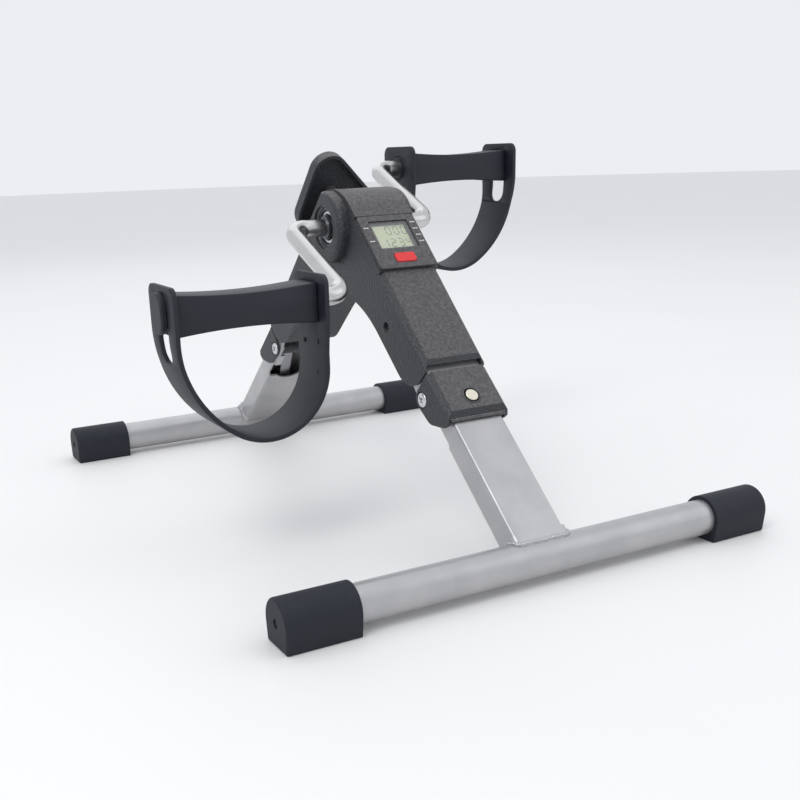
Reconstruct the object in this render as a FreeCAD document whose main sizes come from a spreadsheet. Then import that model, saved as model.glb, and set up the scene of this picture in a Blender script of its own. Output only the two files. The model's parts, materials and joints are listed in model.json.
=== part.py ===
import FreeCAD, Part
import math
import os
import re
import Sketcher
from FreeCAD import Placement, Rotation, Vector

# Folding pedal exerciser. X runs along the base tubes, -Y is the side that the display faces,
# Z is up and the origin is on the floor, under the crank axle. Millimetres and degrees.

doc = FreeCAD.newDocument("pedal_exerciser")

SIZES = {
    # base tubes and their end caps
    "base_width": 380, "base_half": 234, "tube_dia": 25.4, "tube_wall": 1.2, "tube_height": 15.6,
    "cap_length": 49, "cap_radius": 15.5, "foot_half": 14, "cap_end_wall": 3, "cap_fit": 0.05,
    "cap_edge": 2, "notch_depth": 2.4, "notch_start": 8, "notch_length": 31, "notch_half": 9,
    "dimple_radius": 3, "dimple_depth": 0.8,
    # legs, in the leg's own frame: along the leg, and up from its middle plane
    "leg_angle": 41.4, "leg_width": 40, "leg_depth": 20, "leg_wall": 1.5, "leg_corner": 2,
    "weld_size": 1.6, "pivot_along": 138.5, "pivot_drop": 5, "leg_end_radius": 8,
    "cutout_length": 46, "cutout_width": 28,
    "scallop_start": 98, "scallop_end": 117, "scallop_rise": 3.5,
    # steel channel of the frame
    "channel_gap": 0.4, "channel_wall": 1.8, "channel_start": 108, "channel_end": 300,
    "channel_low": 9, "lobe_radius": 6.4,
    # hinge covers
    "side_gap": 0.3, "cover_wall": 2.1, "cover_front": 16.3, "cover_top": 146.5,
    "cover_foot": 112, "lip_along": 105.8, "lip_height": 9.8, "face_chamfer": 3.6,
    # pivot bolt, its nut and sleeve
    "bolt_dia": 8, "bolt_fit": 0.05, "bolt_head": 5.5, "head_height": 2.8, "head_recess": 6.1,
    "sleeve_radius": 5.4, "sleeve_gap": 0.15,
    # release button of each leg
    "lock_along": 122.4, "lock_dia": 9.4, "lock_hole": 11.4, "lock_stem": 7, "lock_proud": 0.9,
    "lock_well": 3.1, "catch_radius": 4, "spring_thick": 0.9,
    # hub: axle, bearing shell and drums
    "axle_height": 216, "shell_radius": 17, "shell_bore": 15.5, "shell_half": 30.8,
    "drum_radius": 26.8, "drum_half": 33, "drum_edge": 4, "recess_radius": 16.2,
    "hub_radius": 31.8, "crest_radius": 41.3,
    # housing
    "shell_wall": 2.1, "seam_gap": 0.08, "face_angle": 43.5, "display_foot": 73.9,
    "spine_length": 80, "spine_step": 3,
    "chin_along": 147.8, "chin_height": 14, "heel_along": 150.4, "heel_depth": 15.8,
    "heel_radius": 22, "arch_radius": 100,
    "screw_along": 204.5, "screw_drop": 2.8, "screw_dia": 3, "screw_head": 6.6, "boss_radius": 4,
    "well_radius": 5.6,
    # display, in its own frame: up the face, and out from it
    "panel_width": 48.4, "panel_length": 51, "panel_corner": 2.4, "window_width": 33,
    "window_low": 18.5, "window_high": 45.4, "window_depth": 1.3, "glass_thick": 0.9,
    "key_width": 17, "key_height": 8.4, "key_along": 9.4, "key_proud": 0.8, "key_travel": 1,
    "key_gap": 0.3, "board_width": 34, "board_low": 5, "board_high": 47, "board_thick": 1.6,
    "board_depth": 6.4, "lcd_thick": 2.2, "cell_dia": 20, "cell_thick": 3.2,
    # bearings
    "bearing_start": 23, "bearing_end": 30, "cup_bore": 12.6, "cone_radius": 9.2,
    "ball_dia": 3.2, "ball_circle": 10.9, "ball_count": 10, "race_fit": 0.02, "ring_radius": 8.6,
    # crank
    "crank_dia": 13, "crank_radius": 96, "crank_angle": 24.3, "crank_elbow": 61.5,
    "crank_bend": 13, "spindle_dia": 10, "shoulder_at": 84.4, "spindle_end": 186.8,
    # tension screw, in its own frame: out along the screw from the axle
    "tension_tilt": 66, "thread_dia": 8, "thread_pitch": 1.25, "nut_radius": 7, "nut_end": 29,
    "shoe_start": 8.3, "shoe_end": 12.2, "shoe_radius": 6, "spigot_dia": 4.8,
    "knob_start": 49.4, "knob_end": 59.8, "knob_inradius": 25.5, "knob_round": 15.5,
    "knob_wall": 2.4, "knob_turn": 13,
    # pedals, along the spindle and about it
    "pedal_start": 89.5, "pedal_end": 190.5, "pedal_depth": 28, "pedal_top": 11.8,
    "pedal_low": 14.8, "pedal_waist": 2.4, "pedal_boss": 9.5, "bush_radius": 7,
    "bush_length": 14, "clip_well": 8, "clip_depth": 6, "washer_thick": 1.1, "washer_radius": 8.5,
    "strap_thick": 3.2, "strap_gap": 0.4, "strap_width": 49, "strap_waist": 43, "strap_top": 17.5,
    "strap_drop": 90.4, "strap_bend": 45.7, "strap_slant": 35, "strap_flat": 2,
    "plate_corner": 7, "slot_width": 20, "slot_low": 33, "slot_high": 12, "peg_head": 3.8,
    "peg_width": 21, "peg_height": 27, "fit_gap": 0.3,
}

sheet = doc.addObject("Spreadsheet::Sheet", "Sizes")
for row, (alias, number) in enumerate(SIZES.items(), start=1):
    sheet.set(f"A{row}", alias)
    sheet.set(f"B{row}", str(number))
    sheet.setAlias(f"B{row}", alias)
doc.recompute()

FRONT, REAR = 1, -1
LEFT, RIGHT = -1, 1
nodes = []


def formula(text):
    """The text with each size's name pointing at its cell."""
    def cell(word):
        return "Sizes." + word.group() if word.group() in SIZES else word.group()
    return re.sub(r"[a-z][a-z_]*", cell, str(text))


def value(text):
    return float(sheet.evalExpression(formula(text)))


def bind(thing, prop, text):
    thing.setExpression(prop, formula(text))


# ---- sketches -----------------------------------------------------------------------------

def new_sketch(body, plane, start):
    sketch = body.newObject("Sketcher::SketchObject", "Outline")
    origin = next(f for f in body.Origin.OriginFeatures if f.Role == plane + "_Plane")
    sketch.AttachmentSupport = [(origin, "")]
    sketch.MapMode = "FlatFace"
    bind(sketch, "AttachmentOffset.Base.z", start)
    return sketch


def constrain(sketch, kind, *where, text=None):
    if text is None:
        sketch.addConstraint(Sketcher.Constraint(kind, *where))
        return
    index = sketch.addConstraint(Sketcher.Constraint(kind, *where, value(text)))
    bind(sketch, f"Constraints[{index}]", text)


def place_point(sketch, geometry, end, x, y):
    constrain(sketch, "DistanceX", geometry, end, text=x)
    constrain(sketch, "DistanceY", geometry, end, text=y)


def draw_circle(sketch, x, y, radius):
    centre = Vector(value(x), value(y), 0)
    circle = sketch.addGeometry(Part.Circle(centre, Vector(0, 0, 1), value(radius)))
    place_point(sketch, circle, 3, x, y)
    constrain(sketch, "Radius", circle, text=radius)


def draw_outline(sketch, corners, closed=True):
    """Straight sides from corner to corner. A corner (x, y, radius) is rounded."""
    points = [Vector(value(c[0]), value(c[1]), 0) for c in corners]
    count = len(points)
    sides = count if closed else count - 1
    ways = [(points[(i + 1) % count] - points[i]).normalize() for i in range(sides)]
    starts, stops, rounds = [], [], []
    for i in range(count):
        radius = value(corners[i][2]) if len(corners[i]) > 2 else 0
        if not radius:
            starts.append(points[i])
            stops.append(points[i])
            rounds.append(None)
            continue
        before, after = ways[i - 1] * -1, ways[i]
        half = before.getAngle(after) / 2
        stops.append(points[i] + before * (radius / math.tan(half)))
        starts.append(points[i] + after * (radius / math.tan(half)))
        rounds.append(points[i] + (before + after).normalize() * (radius / math.sin(half)))
    lines = [sketch.addGeometry(Part.LineSegment(starts[i], stops[(i + 1) % count]))
             for i in range(sides)]
    for i in range(count):
        x, y = corners[i][:2]
        if not closed and i == count - 1:
            place_point(sketch, lines[-1], 2, x, y)
        elif not rounds[i]:
            place_point(sketch, lines[i], 1, x, y)
            if closed or i:
                constrain(sketch, "Coincident", lines[i - 1], 2, lines[i], 1)
        else:
            circle = Part.Circle(rounds[i], Vector(0, 0, 1), value(corners[i][2]))
            first, second = circle.parameter(stops[i]), circle.parameter(starts[i])
            turned = (stops[i] - rounds[i]).cross(starts[i] - rounds[i]).z < 0
            if turned:
                first, second = second, first
            arc = sketch.addGeometry(Part.ArcOfCircle(circle, first, second))
            corner = sketch.addGeometry(Part.Point(points[i]), True)
            constrain(sketch, "Tangent", lines[i - 1], 2, arc, 2 if turned else 1)
            constrain(sketch, "Tangent", lines[i], 1, arc, 1 if turned else 2)
            constrain(sketch, "Radius", arc, text=corners[i][2])
            constrain(sketch, "PointOnObject", corner, 1, lines[i - 1])
            constrain(sketch, "PointOnObject", corner, 1, lines[i])
            place_point(sketch, corner, 1, x, y)


def rectangle(x, y, width, height, radius=None):
    rounding = (radius,) if radius else ()
    return [(f"{x} + {a} * ({width}) / 2", f"{y} + {b} * ({height}) / 2", *rounding)
            for a, b in ((-1, -1), (1, -1), (1, 1), (-1, 1))]


# ---- bodies -------------------------------------------------------------------------------

def new_body(name):
    body = doc.addObject("PartDesign::Body", name)
    body.Label = name
    nodes.append(body)
    return body


def extrude(body, kind, plane, shape, start, length):
    """Pads or pockets a shape along the plane's normal, from start and over length."""
    sketch = new_sketch(body, plane, start)
    if isinstance(shape, tuple):
        draw_circle(sketch, *shape)
    else:
        draw_outline(sketch, shape)
    feature = body.newObject("PartDesign::" + kind, kind)
    feature.Profile = sketch
    bind(feature, "Length", length)
    feature.Reversed = kind == "Pocket"
    doc.recompute()
    return feature


def pad(body, plane, shape, start, length):
    return extrude(body, "Pad", plane, shape, start, length)


def pocket(body, plane, shape, start, length):
    before = body.Shape.Volume
    feature = extrude(body, "Pocket", plane, shape, start, length)
    if body.Shape.Volume > before - 1e-6:
        raise RuntimeError(f"{body.Label}: a pocket cuts nothing")
    return feature


def turn(body, kind, corners):
    """Turns an outline of (along X, radius) corners about the X axis."""
    sketch = new_sketch(body, "XY", 0)
    draw_outline(sketch, corners)
    feature = body.newObject("PartDesign::" + kind, kind)
    feature.Profile = sketch
    feature.ReferenceAxis = (sketch, ["H_Axis"])
    feature.Angle = 360
    doc.recompute()
    return feature


def dress(body, kind, prop, text, chosen):
    """A fillet or chamfer on the edges that chosen(edge) picks."""
    base = body.Tip
    names = [f"Edge{i}" for i, edge in enumerate(base.Shape.Edges, start=1) if chosen(edge)]
    if not names:
        raise RuntimeError(f"{body.Label}: no edge to dress")
    feature = body.newObject("PartDesign::" + kind, kind)
    feature.Base = (base, names)
    bind(feature, prop, text)
    doc.recompute()
    return feature


def round_edges(body, radius, chosen):
    return dress(body, "Fillet", "Radius", radius, chosen)


def flat_at(axis, place, reach=0.01):
    """Picks the edges that lie in one plane across an axis."""
    def chosen(edge):
        box = edge.BoundBox
        low, high = getattr(box, axis + "Min"), getattr(box, axis + "Max")
        return abs(low - place) < reach and abs(high - place) < reach
    return chosen


def span(side, near, far):
    """Start and length along X of a stretch near..far out on one side."""
    return (near if side == RIGHT else f"-({far})"), f"({far}) - ({near})"


# ---- frames -------------------------------------------------------------------------------

LEG_FRAME = Placement(Vector(0, -value("base_half"), value("tube_height")),
                      Rotation(Vector(1, 0, 0), value("leg_angle")))
HALF_TURN = Placement(Vector(), Rotation(Vector(0, 0, 1), 180))
APEX = "(axle_height + hub_radius / cos(face_angle))"
DISPLAY_FRAME = Placement(
    Vector(0, -value("display_foot"), value(f"{APEX} - display_foot * tan(face_angle)")),
    Rotation(Vector(1, 0, 0), value("face_angle")))
AXLE = Vector(0, 0, value("axle_height"))
TENSION_FRAME = Placement(AXLE, Rotation(Vector(1, 0, 0), -value("tension_tilt")))
CRANK_FRAME = Placement(AXLE, Rotation(Vector(1, 0, 0), value("crank_angle")))


def stand(body, end):
    """Puts a piece drawn in the leg's frame at the front or the rear."""
    body.Placement = LEG_FRAME if end == FRONT else HALF_TURN * LEG_FRAME


def end_name(end):
    return "front" if end == FRONT else "rear"


def side_name(side):
    return "left" if side == LEFT else "right"


def face_point(along, out):
    """A point of the display's frame as (y, z) of the whole object."""
    return (f"-display_foot + ({along}) * cos(face_angle) - ({out}) * sin(face_angle)",
            f"{APEX} - display_foot * tan(face_angle) + ({along}) * sin(face_angle) "
            f"+ ({out}) * cos(face_angle)")


def limb_point(along, height, end):
    """A point of the leg's frame as (y, z) of the whole object."""
    y = f"-base_half + ({along}) * cos(leg_angle) - ({height}) * sin(leg_angle)"
    z = f"tube_height + ({along}) * sin(leg_angle) + ({height}) * cos(leg_angle)"
    return (y if end == FRONT else f"-({y})"), z


# ---- base and legs ------------------------------------------------------------------------

def base_tube(end):
    body = new_body(f"{end_name(end)}_base_tube")
    length = "base_width - 2 * cap_end_wall"
    pad(body, "YZ", ("0", "0", "tube_dia / 2"), f"-({length}) / 2", length)
    pocket(body, "YZ", ("0", "0", "tube_dia / 2 - tube_wall"), f"-({length}) / 2", length)
    body.Placement = Placement(Vector(0, -end * value("base_half"), value("tube_height")),
                               Rotation())


def end_cap(end, side):
    """A rubber cap, round over the tube and square below it, with a notched foot."""
    body = new_body(f"{end_name(end)}_{side_name(side)}_end_cap")
    start, length = span(side, "base_width / 2 - cap_length", "base_width / 2")
    outline = [("-foot_half", "-tube_height", "1.5"), ("foot_half", "-tube_height", "1.5"),
               ("cap_radius", "-2"), ("cap_radius", "cap_radius", "cap_radius - 0.01"),
               ("-cap_radius", "cap_radius", "cap_radius - 0.01"), ("-cap_radius", "-2")]
    pad(body, "YZ", outline, start, length)
    outer = side * value("base_width / 2")
    round_edges(body, "cap_edge", flat_at("X", outer))
    near, deep = span(side, "base_width / 2 - cap_length", "base_width / 2 - cap_end_wall")
    pocket(body, "YZ", ("0", "0", "tube_dia / 2 + cap_fit"), near, deep)
    notch, reach = span(side, "base_width / 2 - notch_start - notch_length",
                        "base_width / 2 - notch_start")
    pocket(body, "YZ", rectangle("0", "-tube_height", "2 * notch_half", "2 * notch_depth"),
           notch, reach)
    near, deep = span(side, "base_width / 2 - dimple_depth", "base_width / 2")
    pocket(body, "YZ", ("0", "0", "dimple_radius"), near, deep)
    body.Placement = Placement(Vector(0, -end * value("base_half"), value("tube_height")),
                               Rotation())


def leg_tube(end):
    """A rectangular tube, coped and welded to the base tube, open below at its hinge end."""
    body = new_body(f"{end_name(end)}_leg")
    pad(body, "XZ", rectangle("0", "0", "leg_width", "leg_depth", "leg_corner"),
        "-pivot_along - leg_end_radius", "pivot_along + leg_end_radius")
    weld = rectangle("0", "0", "leg_width + 2 * weld_size", "leg_depth + 2 * weld_size",
                     "leg_corner + weld_size")
    pad(body, "XZ", weld, "-tube_dia / 2 - weld_size", "tube_dia / 2 + weld_size")
    pocket(body, "XZ", rectangle("0", "0", "leg_width - 2 * leg_wall", "leg_depth - 2 * leg_wall"),
           "-pivot_along - leg_end_radius", "pivot_along + leg_end_radius")
    wide = "leg_width + 4 * weld_size"
    pocket(body, "YZ", ("0", "0", "tube_dia / 2"), f"-({wide}) / 2", wide)
    # The two side walls are rounded about the pivot, so that the leg turns under the channel.
    past = "pivot_along + leg_end_radius"
    pocket(body, "YZ", [("pivot_along", "leg_depth / 2 + 1"), ("pivot_along", "leg_depth / 2 - 6"),
                        (past, "leg_depth / 2 - 15", "leg_end_radius / 2"),
                        (past, "-leg_depth / 2 - 1"), (f"{past} + 5", "-leg_depth / 2 - 1"),
                        (f"{past} + 5", "leg_depth / 2 + 1")],
           "-leg_width / 2 - 1", "leg_width + 2")
    # U-shaped opening in the underside, which clears the sleeve.
    cut = [("-cutout_width / 2", f"{past} + 2"),
           ("-cutout_width / 2", "pivot_along - cutout_length", "cutout_width / 2 - 1"),
           ("cutout_width / 2", "pivot_along - cutout_length", "cutout_width / 2 - 1"),
           ("cutout_width / 2", f"{past} + 2")]
    pocket(body, "XY", cut, "-leg_depth / 2 - 1", "leg_wall + 1.5")
    near = "pivot_along - sleeve_radius - 1"
    pocket(body, "XY", rectangle("0", f"({near} + {past} + 2) / 2", "leg_width - 2 * leg_wall",
                                 f"{past} + 2 - ({near})"), "-leg_depth / 2 - 1", "leg_wall + 1.5")
    # A shallow scallop in the lower edge of each side wall.
    low, high = "-leg_depth / 2 - 1", "-leg_depth / 2 + scallop_rise"
    pocket(body, "YZ", [("scallop_start", low), ("scallop_end", low),
                        ("scallop_end", high, "3"), ("scallop_start", high, "3")],
           "-leg_width / 2 - 1", "leg_width + 2")
    pocket(body, "YZ", ("pivot_along", "-pivot_drop", "bolt_dia / 2 + bolt_fit"),
           "-leg_width / 2 - 1", "leg_width + 2")
    pocket(body, "XY", ("0", "lock_along", "catch_radius + 0.2"),
           "leg_depth / 2 - leg_wall - 0.5", "leg_wall + 1")
    stand(body, end)


def leg_catch(end):
    """The domed catch of a leg on its flat spring, held in the channel's hole."""
    body = new_body(f"{end_name(end)}_leg_catch")
    crown = "leg_depth / 2 + channel_gap + channel_wall - 0.1"
    roof = "leg_depth / 2 - leg_wall - 0.4"
    foot = "-leg_depth / 2 + leg_wall + 2.3"
    pad(body, "XY", ("0", "lock_along", "catch_radius"), roof, f"{crown} - ({roof})")
    round_edges(body, "catch_radius - 0.1", flat_at("Z", value(crown)))
    pad(body, "YZ", [("lock_along - 54", foot), ("lock_along - 36", foot),
                     ("lock_along - 6", f"{roof} - spring_thick"),
                     ("lock_along + 5", f"{roof} - spring_thick"), ("lock_along + 5", roof),
                     ("lock_along - 6", roof), ("lock_along - 36", f"{foot} + spring_thick"),
                     ("lock_along - 54", f"{foot} + spring_thick")], "-5", "10")
    stand(body, end)


# ---- frame --------------------------------------------------------------------------------

def channel(end):
    """One limb of the frame: a channel that wraps the leg and is welded to the bearing shell."""
    body = new_body(f"{end_name(end)}_channel")
    top = "leg_depth / 2 + channel_gap + channel_wall"
    half = "leg_width / 2 + channel_gap + channel_wall"
    outline = [("channel_start", top), ("channel_start", "pivot_drop", "2"),
               ("pivot_along - 3.4 * lobe_radius", "-channel_low + 1", "lobe_radius"),
               ("pivot_along", "-pivot_drop - lobe_radius", "4 * lobe_radius"),
               ("pivot_along + 2.6 * lobe_radius", "-channel_low", "2"),
               ("channel_end", "-channel_low"), ("channel_end", top)]
    pad(body, "YZ", outline, f"-({half})", f"2 * ({half})")
    inner = rectangle("0", "leg_depth / 2 + channel_gap - 25", "leg_width + 2 * channel_gap", "50")
    pocket(body, "XZ", inner, "-channel_end - 1", "channel_end - channel_start + 2")
    axle_y = "(base_half * cos(leg_angle) + (axle_height - tube_height) * sin(leg_angle))"
    axle_z = "(-base_half * sin(leg_angle) + (axle_height - tube_height) * cos(leg_angle))"
    pocket(body, "YZ", (axle_y, axle_z, "shell_radius"), f"-({half}) - 1", f"2 * ({half}) + 2")
    pocket(body, "YZ", ("pivot_along", "-pivot_drop", "bolt_dia / 2 + bolt_fit"),
           f"-({half}) - 1", f"2 * ({half}) + 2")
    pocket(body, "XY", ("0", "lock_along", "catch_radius + 0.3"), "leg_depth / 2 - 1",
           "channel_gap + channel_wall + 2")
    pocket(body, "YZ", ("screw_along", "-screw_drop", "well_radius + 0.5"),
           f"-({half}) - 1", f"2 * ({half}) + 2")
    stand(body, end)
    if end == REAR:
        clear_nut(body)


def clear_nut(body):
    """Cuts the hole that the tension nut passes through."""
    hole = doc.addObject("Part::Cylinder", "NutHole")
    bind(hole, "Radius", "nut_radius + 0.4")
    bind(hole, "Height", "nut_end")
    hole.Placement = TENSION_FRAME * Placement(Vector(0, 0, value("shell_bore - 4")), Rotation())
    swap_for_cut(body, hole)


def swap_for_cut(body, tool):
    """Makes the body less the tool the node, in place of the body."""
    whole = doc.addObject("Part::Cut", body.Label + "_trimmed")
    whole.Base = body
    whole.Tool = tool
    nodes.remove(body)
    nodes.append(whole)
    name = body.Label
    body.Label = name + "_blank"
    whole.Label = name


def bearing_shell():
    """The tube across the top of the frame, with the hole for the tension screw."""
    body = new_body("bearing_shell")
    pad(body, "YZ", ("0", "0", "shell_radius"), "-shell_half", "2 * shell_half")
    pocket(body, "YZ", ("0", "0", "shell_bore"), "-shell_half", "2 * shell_half")
    pocket(body, "XY", ("0", "0", "thread_dia / 2 + 0.4"), "0", "shell_radius + 1")
    body.Placement = TENSION_FRAME


def hinge_cover(end):
    """The plastic cover over the end of a channel, open below so that the leg can fold."""
    body = new_body(f"{end_name(end)}_hinge_cover")
    inside = "leg_width / 2 + channel_gap + channel_wall + side_gap"
    half = f"{inside} + cover_wall"
    outline = [("cover_top", "cover_front"), ("cover_foot", "cover_front"),
               ("lip_along", "lip_height", "1"), ("lip_along + 1", "4", "6"),
               ("lip_along + 14.5", "-pivot_drop - 4.5", "12"),
               ("cover_top", "-pivot_drop - leg_end_radius", "leg_end_radius")]
    pad(body, "YZ", outline, f"-({half})", f"2 * ({half})")
    edge_x = value(half)
    front = value("cover_front")

    def side_of_face(edge):
        box = edge.BoundBox
        return (abs(abs(box.XMin) - edge_x) < 0.01 and box.XLength < 0.01
                and abs(box.ZMin - front) < 0.01 and box.YLength > 20)

    dress(body, "Chamfer", "Size", "face_chamfer", side_of_face)
    under = "leg_depth / 2 + channel_gap + channel_wall + 0.1"
    pocket(body, "XZ", rectangle("0", f"{under} - 25", f"2 * ({inside})", "50"),
           "-cover_top - 1", "cover_top")
    pocket(body, "YZ", ("pivot_along", "-pivot_drop", "head_recess"),
           f"-({half}) - 1", f"2 * ({half}) + 2")
    pocket(body, "XY", ("0", "lock_along", "lock_hole / 2"), "cover_front - lock_well",
           "lock_well + 1")
    pocket(body, "XY", ("0", "lock_along", "lock_stem / 2 + 0.4"), f"{under} - 1", "4")
    stand(body, end)


def pivot_bolt(end):
    """A screw with a domed head on the left, which the sleeve and the leg turn on."""
    body = new_body(f"{end_name(end)}_pivot_bolt")
    seat = "leg_width / 2 + channel_gap + channel_wall"
    turn(body, "Revolution", [(f"-({seat}) - head_height", "0"),
                              (f"-({seat}) - head_height", "bolt_head", "1.6"),
                              (f"-({seat})", "bolt_head"), (f"-({seat})", "bolt_dia / 2"),
                              (f"{seat} + 1.4", "bolt_dia / 2"), (f"{seat} + 1.4", "0")])
    for width, height in (("5.6", "1.3"), ("1.3", "5.6")):
        pocket(body, "YZ", rectangle("0", "0", width, height), f"-({seat}) - head_height", "1.5")
    body.Placement = Placement(Vector(0, value("pivot_along"), -value("pivot_drop")), Rotation())
    frame = LEG_FRAME if end == FRONT else HALF_TURN * LEG_FRAME
    flip = Placement(Vector(), Rotation(Vector(0, 1, 0), 0 if end == FRONT else 180))
    body.Placement = frame * body.Placement * flip


def pivot_nut(end):
    body = new_body(f"{end_name(end)}_pivot_nut")
    seat = "leg_width / 2 + channel_gap + channel_wall"
    turn(body, "Revolution", [(f"{seat} + 1.5", "0"), (f"{seat} + 1.5", "bolt_dia / 2 + bolt_fit"),
                              (f"{seat}", "bolt_dia / 2 + bolt_fit"), (f"{seat}", "bolt_head"),
                              (f"{seat} + head_height", "bolt_head", "1.6"),
                              (f"{seat} + head_height", "0")])
    frame = LEG_FRAME if end == FRONT else HALF_TURN * LEG_FRAME
    flip = Placement(Vector(), Rotation(Vector(0, 1, 0), 0 if end == FRONT else 180))
    pivot = Placement(Vector(0, value("pivot_along"), -value("pivot_drop")), Rotation())
    body.Placement = frame * pivot * flip


def pivot_sleeve(end):
    body = new_body(f"{end_name(end)}_pivot_sleeve")
    half = "leg_width / 2 - leg_wall - sleeve_gap"
    pad(body, "YZ", ("pivot_along", "-pivot_drop", "sleeve_radius"), f"-({half})", f"2 * ({half})")
    pocket(body, "YZ", ("pivot_along", "-pivot_drop", "bolt_dia / 2 + bolt_fit"),
           f"-({half})", f"2 * ({half})")
    stand(body, end)


def release_button(end):
    """A round metal button in the cover, with a stem over the catch in the leg."""
    body = new_body(f"{end_name(end)}_release_button")
    pad(body, "XY", ("0", "lock_along", "lock_dia / 2"), "cover_front - 1", "1 + lock_proud")
    round_edges(body, "0.8", flat_at("Z", value("cover_front + lock_proud")))
    stem = "leg_depth / 2 + channel_gap + channel_wall + 0.2"
    pad(body, "XY", ("0", "lock_along", "lock_stem / 2"), stem, f"cover_front - 0.6 - ({stem})")
    stand(body, end)


# ---- housing ------------------------------------------------------------------------------

def housing_outline():
    """The side view of the housing, the same at the front and the rear."""
    arch = "tube_height + base_half * tan(leg_angle) - heel_depth / cos(leg_angle)"
    foot = face_point("0", "0")
    step = face_point("0", "-spine_step")
    limbs = [face_point("-spine_length", "-spine_step"),
             limb_point("chin_along", "chin_height", FRONT) + ("1",),
             limb_point("heel_along", "-heel_depth", FRONT) + ("heel_radius",)]
    rear = [(f"-({c[0]})", *c[1:]) for c in reversed(limbs)]
    return [("0", APEX, "crest_radius"), foot, step, *limbs, ("0", arch, "arch_radius"), *rear]


def cavity_outline():
    """The housing's side view, one wall further in."""
    arch = "tube_height + base_half * tan(leg_angle) - (heel_depth - shell_wall) / cos(leg_angle)"
    apex = "(axle_height + (hub_radius - spine_step - shell_wall) / cos(face_angle))"
    front = [face_point("-spine_length - 12", "-spine_step - shell_wall"),
             limb_point("chin_along - 14", "chin_height - 3", FRONT),
             limb_point("heel_along - 12", "-heel_depth + shell_wall", FRONT)]
    rear = [(f"-({c[0]})", *c[1:]) for c in reversed(front)]
    return [("0", apex, "crest_radius - spine_step - shell_wall"), *front,
            ("0", arch, "arch_radius + shell_wall"), *rear]


def housing_half(side):
    body = new_body(f"{side_name(side)}_housing")
    inside = "leg_width / 2 + channel_gap + channel_wall + side_gap"
    half = f"{inside} + shell_wall"
    pad(body, "YZ", housing_outline(), *span(side, "seam_gap", half))
    pad(body, "YZ", ("0", "axle_height", "drum_radius"), *span(side, inside, "drum_half"))
    round_edges(body, "drum_edge", flat_at("X", side * value("drum_half")))
    pocket(body, "YZ", cavity_outline(), *span(side, "0", inside))
    pocket(body, "YZ", ("0", "axle_height", "shell_radius + fit_gap"),
           *span(side, "0", "shell_half + fit_gap"))
    pocket(body, "YZ", ("0", "axle_height", "recess_radius"), *span(side, "0", "drum_half + 1"))
    for end in (FRONT, REAR):
        y, z = limb_point("screw_along", "-screw_drop", end)
        if side == RIGHT:
            pad(body, "YZ", (y, z, "boss_radius"), "-leg_width / 2 + 3",
                f"leg_width / 2 - 3 + {inside} + 0.5")
            pocket(body, "YZ", (y, z, "screw_dia / 2 - 0.2"), "-leg_width / 2 + 3", "20")
        else:
            pad(body, "YZ", (y, z, "well_radius"), f"-({inside}) - 0.5",
                f"{inside} + 0.5 - leg_width / 2 + 2.5")
            pocket(body, "YZ", (y, z, "screw_head / 2 + 0.4"), f"-({half})",
                   f"{half} - leg_width / 2 + 0.5")
            pocket(body, "YZ", (y, z, "screw_dia / 2 + 0.2"), "-leg_width / 2 - 2", "6")
    return body


def slope_tool(side, frame, start, length):
    """A box whose lower face takes one long edge off a slope of the housing."""
    half = value("leg_width / 2 + channel_gap + channel_wall + side_gap + shell_wall")
    offset = value("face_chamfer") / 2
    box = doc.addObject("Part::Box", "SlopeEdge")
    box.Length = 30
    box.Height = 20
    bind(box, "Width", length)
    lean = Rotation(Vector(0, 1, 0), 45 * side)
    place = Placement(Vector(side * (half - offset), value(start), -offset), lean)
    box.Placement = frame * place * Placement(Vector(-15, 0, 0), Rotation())
    return box


def trim_housing(body, side):
    """Cuts a housing half for the display and the tension screw, and chamfers its slopes."""
    seat = doc.addObject("Part::Box", "Seat")
    bind(seat, "Length", "leg_width * 2")
    bind(seat, "Width", "panel_length + seam_gap")
    bind(seat, "Height", "spine_step + 10")
    seat.Placement = DISPLAY_FRAME * Placement(
        Vector(-value("leg_width"), 0, -value("spine_step")), Rotation())
    opening = doc.addObject("Part::Box", "Opening")
    bind(opening, "Length", "board_width + 3")
    bind(opening, "Width", "board_high - board_low + 2")
    opening.Height = 20
    opening.Placement = DISPLAY_FRAME * Placement(
        Vector(-value("board_width + 3") / 2, value("board_low - 1"), -12), Rotation())
    hole = doc.addObject("Part::Cylinder", "ScrewHole")
    bind(hole, "Radius", "nut_radius + 1")
    bind(hole, "Height", "hub_radius + 10")
    hole.Placement = TENSION_FRAME * Placement(Vector(0, 0, value("shell_radius - 1")), Rotation())
    front_slope = DISPLAY_FRAME * Placement(Vector(0, 0, -value("spine_step")), Rotation())
    foot_y, foot_z = (value(text) for text in face_point("-spine_length", "-spine_step"))
    rise = math.degrees(math.atan2(value(APEX) - foot_z, -foot_y))
    rear_slope = Placement(Vector(0, -foot_y, foot_z), Rotation(Vector(1, 0, 0), -rise))
    tools = doc.addObject("Part::MultiFuse", "Trimming")
    tools.Shapes = [seat, opening, hole,
                    slope_tool(side, front_slope, "-spine_length - 10", "spine_length + 10"),
                    slope_tool(side, rear_slope, "-spine_length * 2.2", "spine_length * 2.2 + 10")]
    swap_for_cut(body, tools)


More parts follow.
